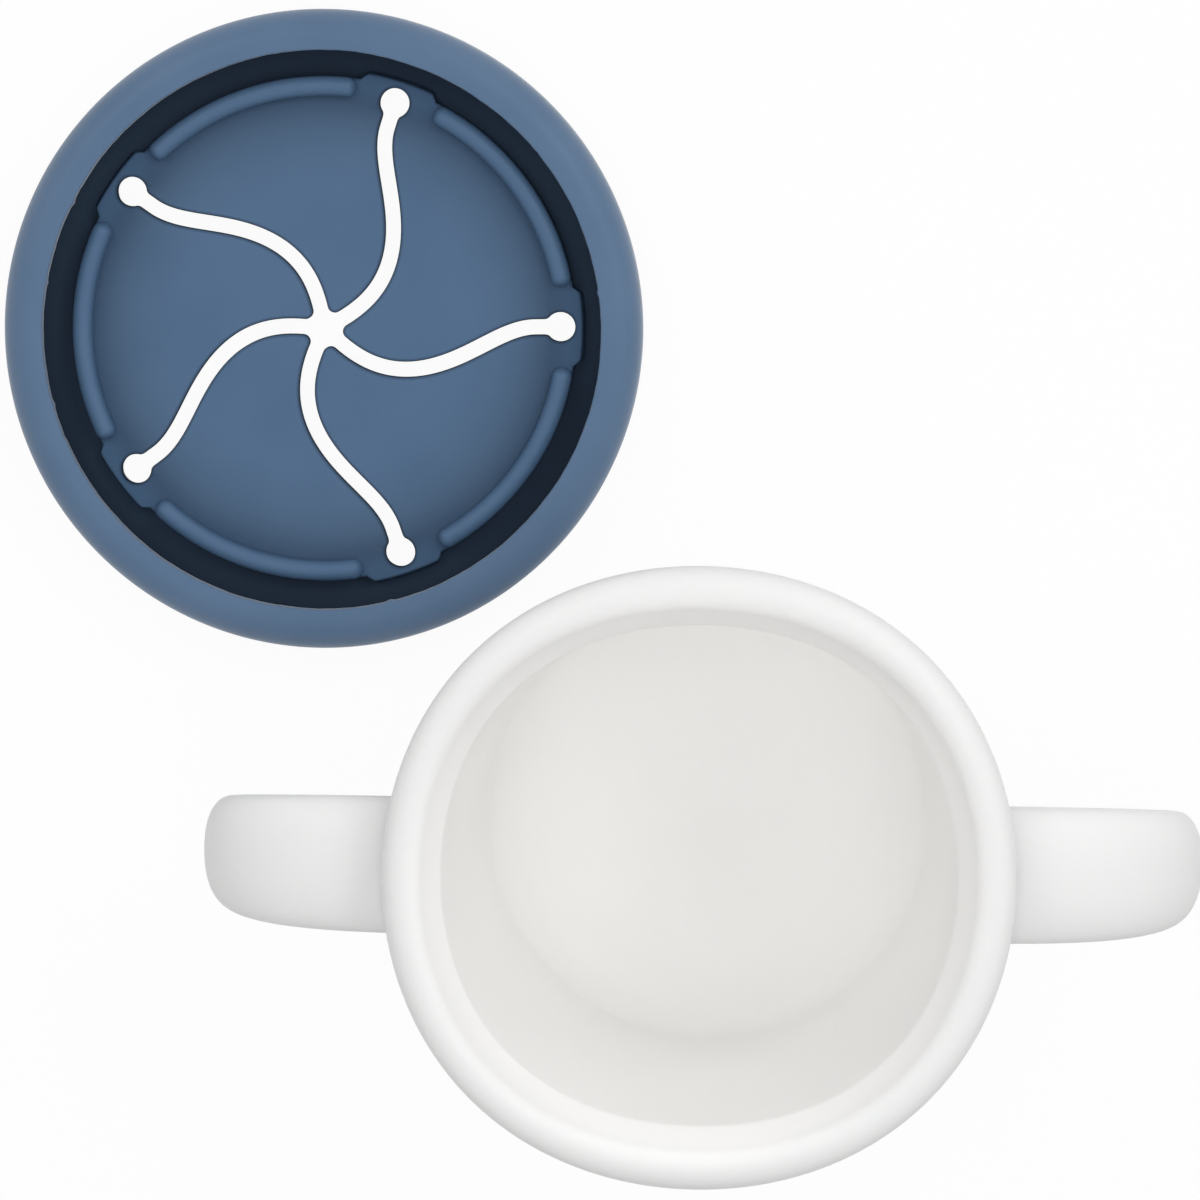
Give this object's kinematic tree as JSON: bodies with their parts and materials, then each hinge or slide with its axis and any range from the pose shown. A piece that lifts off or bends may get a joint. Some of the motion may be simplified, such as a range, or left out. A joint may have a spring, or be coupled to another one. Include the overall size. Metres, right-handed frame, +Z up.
{
  "type": "toddler snack container",
  "caption": "Soft two-handled toddler snack cup with its press-on snack lid lying upside down beside it; curved slits part the lid's membrane into flexible petals.",
  "frame": {"origin": "centre of the cup's flat base, where it meets the surface it stands on", "axes": "+Z up along the cup's axis, X through both handles, the lid lies on the -X +Y side"},
  "size_m": [0.1607, 0.1485, 0.074],
  "materials": {
    "silicone_white": "matte moulded silicone, warm white",
    "silicone_blue": "matte moulded silicone, slate blue"
  },
  "bodies": {
    "cup": {"cup_body": "silicone_white", "handle_left": "silicone_white", "handle_right": "silicone_white"},
    "lid": {"lid_ring": "silicone_blue", "lid_membrane": "silicone_blue", "lid_ribs": "silicone_blue"},
    "petal_1": {"petal_1": "silicone_blue"},
    "petal_2": {"petal_2": "silicone_blue"},
    "petal_3": {"petal_3": "silicone_blue"},
    "petal_4": {"petal_4": "silicone_blue"},
    "petal_5": {"petal_5": "silicone_blue"}
  },
  "joints": [
    {"name": "lid_lift", "type": "slide", "parent": "cup", "child": "lid", "axis": [0, 0, 1], "range_m": [0, 0.12]},
    {"name": "petal_1_bend", "type": "hinge", "parent": "lid", "child": "petal_1", "pos_m": [-0.03233, 0.08105, 0.00345], "axis": [0.606, -0.7955, 0], "range_deg": [-75, 45], "stiffness_Nm_per_rad": 0.005},
    {"name": "petal_2_bend", "type": "hinge", "parent": "lid", "child": "petal_2", "pos_m": [-0.06148, 0.08979, 0.00345], "axis": [0.9438, 0.3305, 0], "range_deg": [-75, 45], "stiffness_Nm_per_rad": 0.005},
    {"name": "petal_3_bend", "type": "hinge", "parent": "lid", "child": "petal_3", "pos_m": [-0.07881, 0.06477, 0.00345], "axis": [-0.0227, 0.9997, 0], "range_deg": [-75, 45], "stiffness_Nm_per_rad": 0.005},
    {"name": "petal_4_bend", "type": "hinge", "parent": "lid", "child": "petal_4", "pos_m": [-0.06037, 0.04056, 0.00345], "axis": [-0.9578, 0.2874, 0], "range_deg": [-75, 45], "stiffness_Nm_per_rad": 0.005},
    {"name": "petal_5_bend", "type": "hinge", "parent": "lid", "child": "petal_5", "pos_m": [-0.03164, 0.05062, 0.00345], "axis": [-0.5693, -0.8221, 0], "range_deg": [-75, 45], "stiffness_Nm_per_rad": 0.005}
  ]
}
